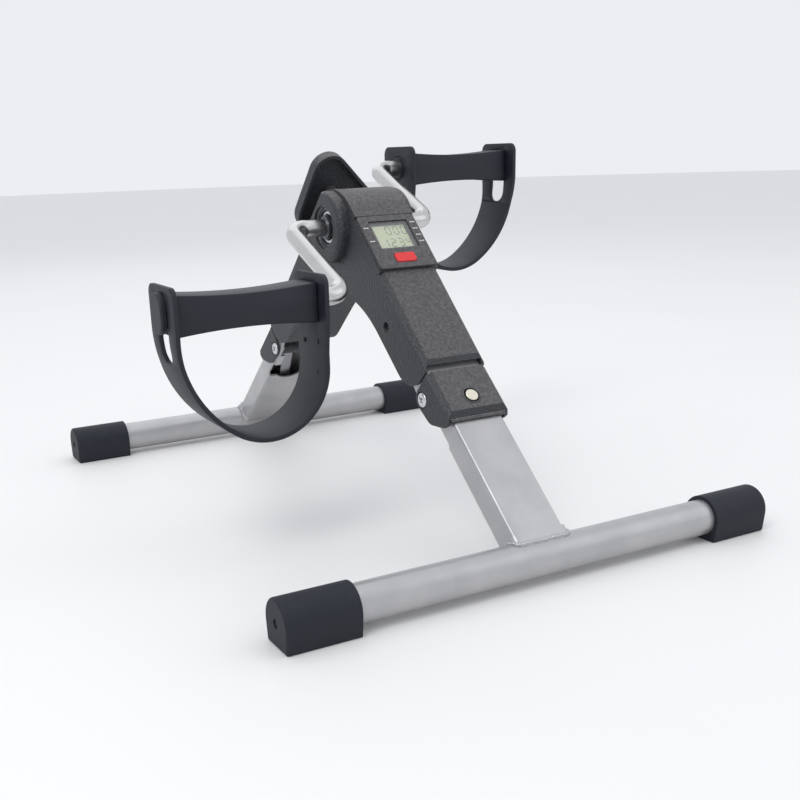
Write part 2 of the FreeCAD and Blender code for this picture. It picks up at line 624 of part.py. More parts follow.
def housing_screws():
    """Two screws that pull the halves together, one in each limb."""
    screws = []
    for end in (FRONT, REAR):
        y, z = (value(text) for text in limb_point("screw_along", "-screw_drop", end))
        seat = -value("leg_width / 2 + 0.5") + 1
        shank = doc.addObject("Part::Cylinder", "Shank")
        bind(shank, "Radius", "screw_dia / 2 - 0.25")
        bind(shank, "Height", "16")
        head = doc.addObject("Part::Cone", "Head")
        bind(head, "Radius1", "screw_head / 2 - 0.6")
        bind(head, "Radius2", "screw_head / 2")
        bind(head, "Height", "2")
        slots = []
        for length, width in ((4.4, 1), (1, 4.4)):
            slot = doc.addObject("Part::Box", "Slot")
            slot.Length, slot.Width, slot.Height = length, width, 1.2
            slot.Placement = Placement(Vector(-length / 2, -width / 2, 1), Rotation())
            slots.append(slot)
        cross = doc.addObject("Part::MultiFuse", "Cross")
        cross.Shapes = slots
        cut = doc.addObject("Part::Cut", "SlottedHead")
        cut.Base, cut.Tool = head, cross
        shank.Placement = Placement(Vector(0, 0, -15.9), Rotation())
        screw = doc.addObject("Part::Fuse", "Screw")
        screw.Base, screw.Tool = cut, shank
        screw.Placement = Placement(Vector(seat, y, z), Rotation(Vector(0, 1, 0), -90))
        screws.append(screw)
    group = doc.addObject("Part::Compound", "housing_screws")
    group.Links = screws
    group.Label = "housing_screws"
    nodes.append(group)


# ---- display ------------------------------------------------------------------------------

def display_panel():
    body = new_body("display_panel")
    middle = "(window_low + window_high) / 2"
    tall = "window_high - window_low"
    pad(body, "XY", rectangle("0", "panel_length / 2", "panel_width", "panel_length",
                              "panel_corner"), "-spine_step + 0.1", "spine_step - 0.1")
    round_edges(body, "0.7", flat_at("Z", 0))
    pocket(body, "XY", rectangle("0", middle, "window_width", tall, "1"),
           "-window_depth - glass_thick", "window_depth + glass_thick")
    pocket(body, "XY", rectangle("0", middle, "window_width - 2", f"{tall} - 2", "1"),
           "-spine_step - 1", "spine_step + 1")
    pocket(body, "XY", rectangle("0", "key_along", "key_width + 2 * key_gap",
                                 "key_height + 2 * key_gap", "2.4"), "-spine_step", "spine_step")
    body.Placement = DISPLAY_FRAME


def display_glass():
    body = new_body("display_glass")
    middle = "(window_low + window_high) / 2"
    pad(body, "XY", rectangle("0", middle, "window_width - 0.1", "window_high - window_low - 0.1",
                              "1"), "-window_depth - glass_thick", "glass_thick")
    body.Placement = DISPLAY_FRAME


def display_cell():
    body = new_body("display_cell")
    middle = "(window_low + window_high) / 2"
    pad(body, "XY", rectangle("0", middle, "window_width + 1", "window_high - window_low + 1"),
        "-spine_step - lcd_thick", "lcd_thick")
    body.Placement = DISPLAY_FRAME


def circuit_board():
    body = new_body("circuit_board")
    tall = "board_high - board_low"
    pad(body, "XY", rectangle("0", "(board_high + board_low) / 2", "board_width", tall),
        "-board_depth - board_thick", "board_thick")
    pad(body, "XY", rectangle("0", "key_along", "6", "6"), "-board_depth", "0.8")
    body.Placement = DISPLAY_FRAME


def battery():
    body = new_body("battery")
    pad(body, "XY", ("0", "(board_high + board_low) / 2 + 4", "cell_dia / 2"),
        "-board_depth - board_thick - cell_thick", "cell_thick")
    round_edges(body, "0.4", flat_at("Z", -value("board_depth + board_thick + cell_thick")))
    body.Placement = DISPLAY_FRAME


def display_button():
    body = new_body("display_button")
    pad(body, "XY", rectangle("0", "key_along", "key_width + 2", "key_height + 1.6", "2.4"),
        "-spine_step - 1.1", "1")
    pad(body, "XY", rectangle("0", "key_along", "key_width", "key_height", "2.2"),
        "-spine_step - 0.5", "spine_step + 0.5 + key_proud")
    round_edges(body, "0.6", flat_at("Z", value("key_proud")))
    body.Placement = DISPLAY_FRAME


# ---- bearings and crank -------------------------------------------------------------------

def bearing_cup(side):
    body = new_body(f"{side_name(side)}_bearing_cup")
    outer = "shell_bore - race_fit"
    pad(body, "YZ", ("0", "axle_height", outer), *span(side, "bearing_start", "bearing_end"))
    pocket(body, "YZ", ("0", "axle_height", "cup_bore"),
           *span(side, "bearing_start", "bearing_end"))
    return body


def bearing_cone(side):
    body = new_body(f"{side_name(side)}_bearing_cone")
    pad(body, "YZ", ("0", "axle_height", "cone_radius"),
        *span(side, "bearing_start", "bearing_end + 1"))
    pocket(body, "YZ", ("0", "axle_height", "crank_dia / 2 + race_fit"),
           *span(side, "bearing_start", "bearing_end + 1"))


def bearing_balls(side):
    """The balls of one bearing and the drilled cage that spaces them."""
    cage = new_body(f"{side_name(side)}_cage")
    nodes.remove(cage)
    middle = f"{side} * (bearing_start + bearing_end) / 2"
    wide = "(ball_dia + 1.6)"
    pad(cage, "YZ", ("0", "0", "ball_circle + 0.9"), f"{middle} - {wide} / 2", wide)
    pocket(cage, "YZ", ("0", "0", "ball_circle - 0.9"), f"{middle} - {wide} / 2", wide)
    hole = pocket(cage, "XY", (middle, "0", "ball_dia / 2 + 0.1"), "0", "ball_circle + 2")
    pattern = cage.newObject("PartDesign::PolarPattern", "Pockets")
    pattern.Originals = [hole]
    pattern.Axis = (hole.Profile[0], ["H_Axis"])
    pattern.Angle = 360
    bind(pattern, "Occurrences", "ball_count")
    cage.Tip = pattern
    cage.Placement = Placement(AXLE, Rotation())
    balls = []
    for i in range(int(value("ball_count"))):
        ball = doc.addObject("Part::Sphere", "Ball")
        bind(ball, "Radius", "ball_dia / 2")
        turned = Placement(AXLE, Rotation(Vector(1, 0, 0), 360 * i / value("ball_count")))
        ball.Placement = turned * Placement(Vector(value(middle), 0, value("ball_circle")),
                                            Rotation())
        balls.append(ball)
    group = doc.addObject("Part::Compound", f"{side_name(side)}_bearing_balls")
    group.Links = [cage, *balls]
    group.Label = f"{side_name(side)}_bearing_balls"
    nodes.append(group)
    doc.recompute()


def retaining_ring(side):
    body = new_body(f"{side_name(side)}_retaining_ring")
    near, far = "bearing_end + 1.05", "bearing_end + 2.05"
    pad(body, "YZ", ("0", "axle_height", "ring_radius"), *span(side, near, far))
    pocket(body, "YZ", ("0", "axle_height", "crank_dia / 2 + race_fit"), *span(side, near, far))


def crank():
    """One bent bar: axle, two opposite arms and two spindles, turned down for the pedals."""
    body = new_body("crank")
    path = new_sketch(body, "XY", 0)
    draw_outline(path, [("-shoulder_at", "-crank_radius"),
                        ("-crank_elbow", "-crank_radius", "crank_bend"),
                        ("-crank_elbow", "0", "crank_bend"), ("crank_elbow", "0", "crank_bend"),
                        ("crank_elbow", "crank_radius", "crank_bend"),
                        ("shoulder_at", "crank_radius")], closed=False)
    section = new_sketch(body, "YZ", "-shoulder_at")
    draw_circle(section, "-crank_radius", "0", "crank_dia / 2")
    doc.recompute()
    bar = body.newObject("PartDesign::AdditivePipe", "Bar")
    bar.Profile = section
    bar.Spine = path
    doc.recompute()
    for side in (LEFT, RIGHT):
        y = f"{side} * crank_radius"
        pad(body, "YZ", (y, "0", "spindle_dia / 2"), *span(side, "shoulder_at - 1", "spindle_end"))
        dress(body, "Chamfer", "Size", "0.8", flat_at("X", side * value("spindle_end")))
    body.Placement = CRANK_FRAME


def magnet_collar():
    """A collar on the axle whose magnet passes the sensor once in each turn."""
    body = new_body("magnet_collar")
    pad(body, "YZ", ("0", "0", "shell_bore - 3.5"), "12", "6")
    pad(body, "YZ", rectangle("shell_bore - 3.6", "0", "2.4", "5"), "12.5", "5")
    pocket(body, "YZ", ("0", "0", "crank_dia / 2 + race_fit"), "11", "8")
    body.Placement = CRANK_FRAME


def speed_sensor():
    """The sealed sensor under the bearing shell, beside the magnet's path."""
    body = new_body("speed_sensor")
    pad(body, "XY", rectangle("15", "0", "10", "8", "1"), "shell_radius + 0.6", "4")
    tilt = Rotation(Vector(1, 0, 0), 180)
    body.Placement = Placement(AXLE, tilt)


# ---- tension ------------------------------------------------------------------------------

def tension_nut():
    body = new_body("tension_nut")
    pad(body, "XY", ("0", "0", "nut_radius"), "shell_bore + 0.3", "nut_end - shell_bore - 0.3")
    pocket(body, "YZ", ("0", "0", "shell_radius"), "-shell_half", "2 * shell_half")
    pocket(body, "XY", ("0", "0", "thread_dia / 2 + 0.05"), "0", "nut_end + 1")
    body.Placement = TENSION_FRAME


def friction_shoe():
    body = new_body("friction_shoe")
    pad(body, "XY", ("0", "0", "shoe_radius"), "shoe_start - 3", "shoe_end - shoe_start + 3")
    pocket(body, "YZ", ("0", "0", "shoe_start"), "-shoe_radius - 1", "2 * shoe_radius + 2")
    pocket(body, "XY", ("0", "0", "spigot_dia / 2 + 0.1"), "shoe_end - 2", "3")
    body.Placement = TENSION_FRAME


def tension_screw():
    body = new_body("tension_screw")
    pad(body, "XY", ("0", "0", "thread_dia / 2"), "shoe_end + 0.1", "knob_end - 4 - shoe_end - 0.1")
    pad(body, "XY", ("0", "0", "spigot_dia / 2"), "shoe_end - 1.6", "2")
    body.Placement = TENSION_FRAME


def knob_outline(shrink):
    """A triangle with large round corners, turned a little about the screw."""
    corners = []
    for i in range(3):
        angle = f"(knob_turn + {120 * i})"
        reach = f"2 * (knob_inradius - {shrink})"
        corners.append((f"{reach} * cos{angle}", f"{reach} * sin{angle}",
                        f"knob_round - {shrink}"))
    return corners


def tension_knob():
    body = new_body("tension_knob")
    pad(body, "XY", knob_outline("0"), "knob_start", "knob_end - knob_start")
    round_edges(body, "2.2", flat_at("Z", value("knob_end")))
    pocket(body, "XY", knob_outline("knob_wall"), "knob_start", "knob_end - knob_start - 2.6")
    pad(body, "XY", ("0", "0", "nut_radius"), "knob_start - 3", "knob_end - knob_start")
    pocket(body, "XY", ("0", "0", "thread_dia / 2 + race_fit"), "knob_start - 4",
           "knob_end - knob_start")
    body.Placement = TENSION_FRAME


# ---- pedals -------------------------------------------------------------------------------

def pedal_frame(side):
    """Pedal pieces are drawn about the spindle, which is the X axis."""
    angle = math.radians(value("crank_angle"))
    reach = side * value("crank_radius")
    return Placement(AXLE + Vector(0, reach * math.cos(angle), reach * math.sin(angle)), Rotation())


def pedal_body(side):
    """A waisted bar with a boss that passes through the strap's inner end."""
    body = new_body(f"{side_name(side)}_pedal")
    near, far = ("pedal_start", "pedal_end") if side == RIGHT else ("-pedal_end", "-pedal_start")
    pad(body, "XZ", [(near, "-pedal_low"), (far, "-pedal_low"), (far, "pedal_top"),
                     (near, "pedal_top")], "-pedal_depth / 2", "pedal_depth")
    # Each waist is a shallow arc: a circle through both ends and the middle.
    chord = "(pedal_end - pedal_start - 8)"
    radius = f"(({chord} / 2)^2 + pedal_waist^2) / (2 * pedal_waist)"
    middle = f"{side} * (pedal_start + pedal_end) / 2"
    pocket(body, "XZ", (middle, f"pedal_top - pedal_waist + {radius}", radius),
           "-pedal_depth / 2 - 1", "pedal_depth + 2")
    pocket(body, "XZ", (middle, f"-pedal_low + pedal_waist - {radius}", radius),
           "-pedal_depth / 2 - 1", "pedal_depth + 2")
    pad(body, "YZ", ("0", "0", "pedal_boss"),
        *span(side, "shoulder_at + washer_thick + 0.2", "pedal_start + 1"))
    deep = "bush_length + pedal_start - shoulder_at - washer_thick - 0.2"
    pocket(body, "YZ", ("0", "0", "bush_radius"),
           *span(side, "shoulder_at", f"shoulder_at + washer_thick + 0.2 + {deep}"))
    pocket(body, "YZ", ("0", "0", "spindle_dia / 2 + 0.5"), *span(side, "pedal_start",
                                                                   "pedal_end + 1"))
    pocket(body, "YZ", ("0", "0", "bush_radius"),
           *span(side, "pedal_end - clip_depth - bush_length", "pedal_end + 1"))
    pocket(body, "YZ", ("0", "0", "clip_well"), *span(side, "pedal_end - clip_depth",
                                                      "pedal_end + 1"))
    body.Placement = pedal_frame(side)


def pedal_bushes(side):
    """Two plain bushes on the spindle, one at each end of the pedal."""
    bushes = []
    boss = "shoulder_at + washer_thick + 0.2"
    deep = "bush_length + pedal_start - shoulder_at - washer_thick - 0.2"
    outer_end = "pedal_end - clip_depth"
    for near, length in ((boss, deep), (f"{outer_end} - bush_length", "bush_length")):
        rings = []
        for radius in ("bush_radius - race_fit", "spindle_dia / 2 + bolt_fit"):
            ring = doc.addObject("Part::Cylinder", "BushRing")
            bind(ring, "Radius", radius)
            bind(ring, "Height", length)
            start = value(near) if side == RIGHT else -value(f"{near} + {length}")
            ring.Placement = pedal_frame(side) * Placement(Vector(start, 0, 0),
                                                           Rotation(Vector(0, 1, 0), 90))
            rings.append(ring)
        bush = doc.addObject("Part::Cut", "Bush")
        bush.Base, bush.Tool = rings
        bushes.append(bush)
    group = doc.addObject("Part::Compound", f"{side_name(side)}_pedal_bushes")
    group.Links = bushes
    group.Label = f"{side_name(side)}_pedal_bushes"
    nodes.append(group)


def pedal_washer(side):
    body = new_body(f"{side_name(side)}_pedal_washer")
    near, far = "shoulder_at + 0.05", "shoulder_at + 0.05 + washer_thick"
    pad(body, "YZ", ("0", "0", "washer_radius"), *span(side, near, far))
    pocket(body, "YZ", ("0", "0", "spindle_dia / 2 + bolt_fit"), *span(side, near, far))
    body.Placement = pedal_frame(side)


def pedal_clip(side):
    body = new_body(f"{side_name(side)}_pedal_clip")
    near, far = "pedal_end - clip_depth + 0.1", "pedal_end - clip_depth + 1.1"
    pad(body, "YZ", ("0", "0", "clip_well - 0.6"), *span(side, near, far))
    pocket(body, "YZ", ("0", "0", "spindle_dia / 2 + race_fit"), *span(side, near, far))
    body.Placement = pedal_frame(side)


def strap_outline(side, inset, top):
    """The strap's side view: down from the pedal's inner end, round, and up to its outer end."""
    wide = "(pedal_end - pedal_start + 2 * strap_gap + 2 * strap_thick)"
    centre = "(strap_drop - strap_bend)"
    bend = f"(strap_bend - {inset})"
    rise = f"(({wide} - strap_bend - {inset}) * sin(strap_slant) - {bend})"
    sweep = f"({wide} - strap_bend * (1 + sin(strap_slant)) - strap_flat * cos(strap_slant))"
    near = f"{side} * (pedal_start - strap_gap - strap_thick + {inset})"
    far = f"{side} * (pedal_end + strap_gap + strap_thick - {inset})"
    near_low = f"-({centre} + {bend} * (1 + sin(strap_slant)) / cos(strap_slant))"
    far_low = f"-({centre} - {rise} / cos(strap_slant))"
    return [(near, top), (near, near_low, bend),
            (far, far_low, f"{sweep} / (1 - sin(strap_slant)) - {inset}"), (far, top)]


def pedal_strap(side):
    """A moulded band from the pedal's inner end round under the foot to its outer end."""
    body = new_body(f"{side_name(side)}_pedal_strap")
    pad(body, "XZ", strap_outline(side, "0", "strap_top"), "-strap_width / 2", "strap_width")
    pocket(body, "XZ", strap_outline(side, "strap_thick", "strap_top + 20"),
           "-strap_width / 2 - 1", "strap_width + 2")
    for way in (-1, 1):
        wide, narrow = f"{way} * strap_width / 2", f"{way} * strap_waist / 2"
        out = f"{way} * (strap_width / 2 + 2)"
        trim = [(narrow, "-strap_drop - 1"), (out, "-strap_drop - 1"), (out, "-12"),
                (wide, "-12"), (narrow, "-34", "30")]
        if way == 1:
            trim = trim[::-1]
        start, length = span(side, "pedal_start - 10", "pedal_end + 10")
        pocket(body, "YZ", trim, start, length)
    pocket(body, "YZ", ("0", "0", "pedal_boss + fit_gap"),
           *span(side, "pedal_start - 10", "pedal_start + 10"))
    top, half = value("strap_top"), value("strap_width / 2")

    def plate_edge(edge):
        box = edge.BoundBox
        return (box.ZLength < 0.01 and abs(box.ZMin - top) < 0.01 and box.YLength < 0.01
                and abs(abs(box.YMin) - half) < 0.01)

    round_edges(body, "plate_corner", plate_edge)
    slot = rectangle("0", "(slot_high - slot_low) / 2", "slot_width", "slot_high + slot_low", "8")
    pocket(body, "YZ", slot, *span(side, "pedal_end - 12", "pedal_end + 10"))
    body.Placement = pedal_frame(side)


def strap_peg(side):
    """The oval peg that holds the strap's outer end and closes the pedal."""
    body = new_body(f"{side_name(side)}_strap_peg")
    neck_end = "pedal_end + strap_gap + strap_thick + 0.3"
    head = rectangle("0", "0", "peg_width", "peg_height", "peg_width / 2 - 0.6")
    pad(body, "YZ", head, *span(side, neck_end, f"{neck_end} + peg_head"))
    round_edges(body, "1.6", flat_at("X", side * value(f"{neck_end} + peg_head")))
    neck = rectangle("0", "0", "slot_width - 4", "slot_high + 8", "5")
    pad(body, "YZ", neck, *span(side, "pedal_end + 0.1", f"{neck_end} + 0.5"))
    pad(body, "YZ", ("0", "0", "clip_well - 0.1"), *span(side, "pedal_end - 3",
                                                         "pedal_end + 0.5"))
    body.Placement = pedal_frame(side)


# ---- assembly -----------------------------------------------------------------------------

for end in (FRONT, REAR):
    base_tube(end)
    leg_tube(end)
    leg_catch(end)
    channel(end)
    hinge_cover(end)
    pivot_bolt(end)
    pivot_nut(end)
    pivot_sleeve(end)
    release_button(end)
    for side in (LEFT, RIGHT):
        end_cap(end, side)

bearing_shell()
for side in (LEFT, RIGHT):
    trim_housing(housing_half(side), side)
    bearing_cup(side)
    bearing_cone(side)
    bearing_balls(side)
    retaining_ring(side)
    pedal_body(side)
    pedal_bushes(side)
    pedal_washer(side)
    pedal_clip(side)
    pedal_strap(side)
    strap_peg(side)
housing_screws()
display_panel()
display_glass()
display_cell()
circuit_board()
battery()
display_button()
crank()
magnet_collar()
speed_sensor()
tension_nut()
friction_shoe()
tension_screw()
tension_knob()

doc.recompute()
for thing in doc.Objects:
    if "Invalid" in thing.State or "Error" in thing.State:
        raise RuntimeError(f"{thing.Label} ({thing.TypeId}) failed: {thing.State}")
os.makedirs("parts", exist_ok=True)
for node in nodes:
    if node.Shape.isNull() or not node.Shape.isValid():
        raise RuntimeError(f"{node.Label} has no valid shape")
    node.Shape.exportStep(f"parts/{node.Label}.step")
print(len(nodes), "nodes")
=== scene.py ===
import json
import math
import bpy
from mathutils import Matrix, Vector


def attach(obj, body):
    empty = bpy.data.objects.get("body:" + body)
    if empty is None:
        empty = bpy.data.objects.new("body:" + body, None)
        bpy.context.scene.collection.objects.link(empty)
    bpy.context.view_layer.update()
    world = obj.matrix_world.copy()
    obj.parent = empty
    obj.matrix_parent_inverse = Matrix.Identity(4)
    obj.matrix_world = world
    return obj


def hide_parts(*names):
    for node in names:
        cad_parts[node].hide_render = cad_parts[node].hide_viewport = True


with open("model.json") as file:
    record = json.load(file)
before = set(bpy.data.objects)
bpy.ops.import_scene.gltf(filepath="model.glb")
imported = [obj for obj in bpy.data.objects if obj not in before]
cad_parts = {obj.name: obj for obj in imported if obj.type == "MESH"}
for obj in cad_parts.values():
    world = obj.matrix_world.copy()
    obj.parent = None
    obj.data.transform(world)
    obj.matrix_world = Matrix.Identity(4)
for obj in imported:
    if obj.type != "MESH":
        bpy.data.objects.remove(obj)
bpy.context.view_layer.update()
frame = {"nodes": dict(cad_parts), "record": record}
bpy.ops.object.select_all(action="DESELECT")
record = frame["record"]
bodyOf = {node: body for body, nodes in record["behaviour"]["bodies"].items() for node in nodes}
slotOf = {part["node"]: part["material_slot"] for part in record["subparts"]}
print("frame loaded:", len(frame["nodes"]), "nodes")


def only(thing):
    # selects this object and nothing else
    bpy.ops.object.select_all(action="DESELECT")
    thing.select_set(True)
    bpy.context.view_layer.objects.active = thing


def smoothBelow(thing, degrees):
    only(thing)
    bpy.ops.object.shade_smooth_by_angle(angle=math.radians(degrees))


# one output of a node, which can be used in sums
class Wire:
    def __init__(self, finish, node, output=0):
        self.finish = finish
        self.node = node
        self.socket = node.outputs[output]

    def maths(self, operation, first, second=0.0):
        return self.finish.node("ShaderNodeMath", {"operation": operation}, {0: first, 1: second})

    def __add__(self, other): return self.maths("ADD", self, other)
    def __radd__(self, other): return self.maths("ADD", other, self)
    def __mul__(self, other): return self.maths("MULTIPLY", self, other)
    def __rmul__(self, other): return self.maths("MULTIPLY", other, self)


# a material with a principled shader
class Finish:
    def __init__(self, name, **constants):
        self.material = bpy.data.materials.new(name)
        self.material.use_nodes = True
        self.tree = self.material.node_tree
        self.tree.nodes.clear()
        output = self.tree.nodes.new("ShaderNodeOutputMaterial")
        self.shader = self.tree.nodes.new("ShaderNodeBsdfPrincipled")
        self.tree.links.new(self.shader.outputs[0], output.inputs[0])
        for socket, value in constants.items():
            self.feed(socket.replace("_", " "), value)
        place = self.tree.nodes.new("ShaderNodeTexCoord")
        self.place = Wire(self, place, "Object")

    def put(self, socket, value):
        if isinstance(value, Wire):
            self.tree.links.new(value.socket, socket)
        elif socket.type == "RGBA" and len(value) == 3:
            socket.default_value = (*value, 1)
        else:
            socket.default_value = value

    def feed(self, socket, value):
        self.put(self.shader.inputs[socket], value)

    def node(self, kind, settings, sockets, output=0):
        made = self.tree.nodes.new(kind)
        for setting, value in settings.items():
            setattr(made, setting, value)
        for socket, value in sockets.items():
            self.put(made.inputs[socket], value)
        return Wire(self, made, output)

    def stretched(self, scale):
        return self.node("ShaderNodeMapping", {}, {"Vector": self.place, "Scale": scale})

    def noise(self, scale, detail=3.0, rough=0.5, at=None):
        return self.node("ShaderNodeTexNoise", {}, {"Vector": at or self.place, "Scale": scale,
                         "Detail": detail, "Roughness": rough}, "Fac")

    def cells(self, scale):
        return self.node("ShaderNodeTexVoronoi", {"feature": "F1"},
                         {"Vector": self.place, "Scale": scale}, "Distance")

    def between(self, value, low, high):
        # 0 below low, 1 above high
        return self.node("ShaderNodeMapRange", {"clamp": True}, {"Value": value, "From Min": low,
                         "From Max": high, "To Min": 0.0, "To Max": 1.0})

    def blend(self, factor, first, second):
        return self.node("ShaderNodeMix", {"data_type": "RGBA"}, {0: factor, 6: first, 7: second},
                         2)

    def bump(self, height, depth, strength=1.0):
        normal = self.node("ShaderNodeBump", {}, {"Height": height, "Distance": depth,
                                                  "Strength": strength})
        self.feed("Normal", normal)


# finishes, one for each slot of the record

def silverPaint():
    look = {"colour": (0.47, 0.465, 0.47), "dull": (0.385, 0.385, 0.40), "flake": 5200,
            "mottle": 38}
    paint = Finish("silverPaint", Metallic=0.62, Coat_Weight=0.12, Coat_Roughness=0.25)
    mottle = paint.noise(look["mottle"], 5, 0.6)
    flake = paint.noise(look["flake"], 2)
    handled = paint.noise(11, 3, 0.7)
    paint.feed("Base Color", paint.blend(paint.between(mottle, 0.3, 0.75), look["colour"],
                                         look["dull"]))
    paint.feed("Roughness", 0.24 + 0.1 * mottle + 0.08 * flake + 0.06 * handled)
    paint.bump(flake * 0.5 + paint.noise(900, 3), 0.00004, 0.35)
    return paint.material


def grainedPlastic():
    # the dust colour here is laid on up-facing faces: partly dust in the pores, mostly painted
    # sheen from the light above
    look = {"colour": (0.020, 0.022, 0.028), "worn": (0.040, 0.041, 0.048), "grain": 560,
            "pores": 420, "dustAndLitTop": (0.105, 0.099, 0.100)}
    plastic = Finish("grainedPlastic", Specular_IOR_Level=0.5)
    grain = plastic.cells(look["grain"])
    pores = plastic.noise(look["pores"], 4, 0.65)
    patch = plastic.noise(24, 4, 0.6)
    moulded = plastic.blend(plastic.between(patch, 0.35, 0.8) * 0.4 + 0.25 * pores + 0.35 * grain,
                            look["colour"], look["worn"])
    faces = plastic.node("ShaderNodeTexCoord", {}, {}, "Normal")
    up = plastic.node("ShaderNodeSeparateXYZ", {}, {"Vector": faces}, "Z")
    # up-facing faces painted lighter: a painted sheen from above, broken up by the pores
    litTopShare = plastic.between(up, 0.45, 0.8) * (0.35 + 0.9 * plastic.between(pores, 0.4, 0.65))
    plastic.feed("Base Color", plastic.blend(litTopShare, moulded, look["dustAndLitTop"]))
    plastic.feed("Roughness", 0.4 + 0.1 * patch + 0.12 * pores)
    plastic.bump(grain * 0.8 + pores * 0.5, 0.0008, 0.8)
    return plastic.material


def pedalPlastic():
    look = {"colour": (0.011, 0.014, 0.021), "worn": (0.032, 0.035, 0.043)}
    plastic = Finish("pedalPlastic", Specular_IOR_Level=0.36)
    flow = plastic.noise(60, 4, 0.6, plastic.stretched((0.2, 1, 1)))
    fine = plastic.noise(1700, 3)
    plastic.feed("Base Color", plastic.blend(plastic.between(flow, 0.45, 0.85) * 0.5,
                                             look["colour"], look["worn"]))
    plastic.feed("Roughness", 0.4 + 0.14 * flow + 0.08 * fine)
    plastic.bump(fine + flow * 0.4, 0.00009, 0.4)
    return plastic.material


def strapPlastic():
    look = {"colour": (0.012, 0.015, 0.022), "scuffed": (0.042, 0.044, 0.05)}
    strap = Finish("strapPlastic", Specular_IOR_Level=0.36)
    scuff = strap.noise(85, 6, 0.7)
    fine = strap.noise(2100, 3)
    strap.feed("Base Color", strap.blend(strap.between(scuff, 0.5, 0.9) * 0.55,
                                         look["colour"], look["scuffed"]))
    strap.feed("Roughness", 0.46 + 0.16 * scuff)
    strap.bump(fine * 0.8 + scuff * 0.5, 0.00014, 0.4)
    return strap.material


def capRubber():
    look = {"colour": (0.010, 0.013, 0.020), "dustAndLitTop": (0.036, 0.038, 0.045)}
    rubber = Finish("capRubber", Specular_IOR_Level=0.34)
    dustAndLitTop = rubber.noise(95, 6, 0.7)
    fine = rubber.noise(1300, 4)
    rubber.feed("Base Color", rubber.blend(rubber.between(dustAndLitTop, 0.5, 0.9) * 0.5,
                                           look["colour"], look["dustAndLitTop"]))
    rubber.feed("Roughness", 0.52 + 0.16 * dustAndLitTop)
    rubber.bump(fine + dustAndLitTop * 0.5, 0.00016, 0.5)
    return rubber.material


def metal(name, colour, rough, grain, depth=0.00003):
    steel = Finish(name, Metallic=1.0)
    drawn = steel.noise(grain, 4, 0.6, steel.stretched((0.15, 1, 1)))
    smudge = steel.noise(45, 4, 0.6)
    dim = tuple(c * 0.8 for c in colour)
    steel.feed("Base Color", steel.blend(steel.between(smudge, 0.4, 0.8) * 0.6, colour, dim))
    steel.feed("Roughness", rough + 0.1 * smudge + 0.06 * drawn)
    steel.bump(drawn, depth, 0.3)
    return steel.material


def smoothPlastic(name, colour, rough, speck=0.15):
    plastic = Finish(name)
    patch = plastic.noise(130, 4, 0.6)
    pale = tuple(min(1.0, c * (1 + speck) + speck * 0.03) for c in colour)
    plastic.feed("Base Color", plastic.blend(patch, colour, pale))
    plastic.feed("Roughness", rough + 0.1 * patch)
    plastic.bump(plastic.noise(1500, 2), 0.00006, 0.3)
    return plastic.material


def clearWindow():
    window = Finish("clearWindow", Base_Color=(0.9, 0.93, 0.9), Alpha=0.1, IOR=1.46)
    window.feed("Roughness", 0.03 + 0.06 * window.noise(240, 4, 0.6))
    return window.material


finishes = {
    "silver_paint": silverPaint(),
    "black_plastic": grainedPlastic(),
    "pedal_plastic": pedalPlastic(),
    "strap_plastic": strapPlastic(),
    "cap_rubber": capRubber(),
    "bright_steel": metal("brightSteel", (0.60, 0.595, 0.59), 0.16, 420),
    "zinc_steel": metal("zincSteel", (0.66, 0.68, 0.7), 0.22, 900),
    "bearing_steel": metal("bearingSteel", (0.6, 0.6, 0.61), 0.2, 700),
    "spring_steel": metal("springSteel", (0.34, 0.34, 0.36), 0.3, 600),
    "red_plastic": smoothPlastic("redPlastic", (0.6, 0.02, 0.022), 0.32),
    "clear_window": clearWindow(),
    "grey_cell": smoothPlastic("greyCell", (0.42, 0.46, 0.3), 0.35, 0.05),
    "green_board": smoothPlastic("greenBoard", (0.02, 0.17, 0.07), 0.4),
    "cell_steel": metal("cellSteel", (0.7, 0.7, 0.69), 0.2, 500),
    "grey_plastic": smoothPlastic("greyPlastic", (0.09, 0.09, 0.095), 0.45),
}
paleZinc = metal("paleZinc", (0.76, 0.72, 0.6), 0.28, 900)
# dark steel for the bearing cups, cones and rings: painted shade of the recess in the hub
recessShadeSteel = metal("recessShadeSteel", (0.13, 0.135, 0.15), 0.32, 700)
inkBlack = smoothPlastic("inkBlack", (0.035, 0.045, 0.03), 0.5, 0.02)
inkWhite = smoothPlastic("inkWhite", (0.62, 0.6, 0.6), 0.55, 0.02)

for name, node in frame["nodes"].items():
    node.data.materials.clear()
    node.data.materials.append(finishes[slotOf[name]])
    smoothBelow(node, 28)
for end in ("front", "rear"):
    frame["nodes"][end + "_release_button"].data.materials[0] = paleZinc
# bearing cups, cones and rings get the dark steel, which is painted shade inside the hub's recess
for side in ("left", "right"):
    for part in ("_bearing_cup", "_bearing_cone", "_retaining_ring"):
        frame["nodes"][side + part].data.materials[0] = recessShadeSteel
print("finishes made:", len(finishes))


# where the CAD's own frames stand, in metres and degrees
body = {"baseHalf": 0.234, "tubeHeight": 0.0156, "legAngle": 41.4, "axle": 0.216, "hub": 0.0318,
        "faceAngle": 43.5, "displayFoot": 0.0739, "crankRadius": 0.096, "crankAngle": 24.3}


def tilt(degrees):
    return Matrix.Rotation(math.radians(degrees), 4, "X")


def legFrame(end):
    place = Matrix.Translation((0, -body["baseHalf"], body["tubeHeight"])) @ tilt(body["legAngle"])
    return place if end == "front" else Matrix.Rotation(math.pi, 4, "Z") @ place


def displayFrame():
    slope = math.radians(body["faceAngle"])
    rise = body["axle"] + body["hub"] / math.cos(slope) - body["displayFoot"] * math.tan(slope)
    return Matrix.Translation((0, -body["displayFoot"], rise)) @ tilt(body["faceAngle"])


def pedalFrame(way):
    turned = math.radians(body["crankAngle"])
    reach = way * body["crankRadius"]
    return Matrix.Translation((0, reach * math.cos(turned),
                               body["axle"] + reach * math.sin(turned)))


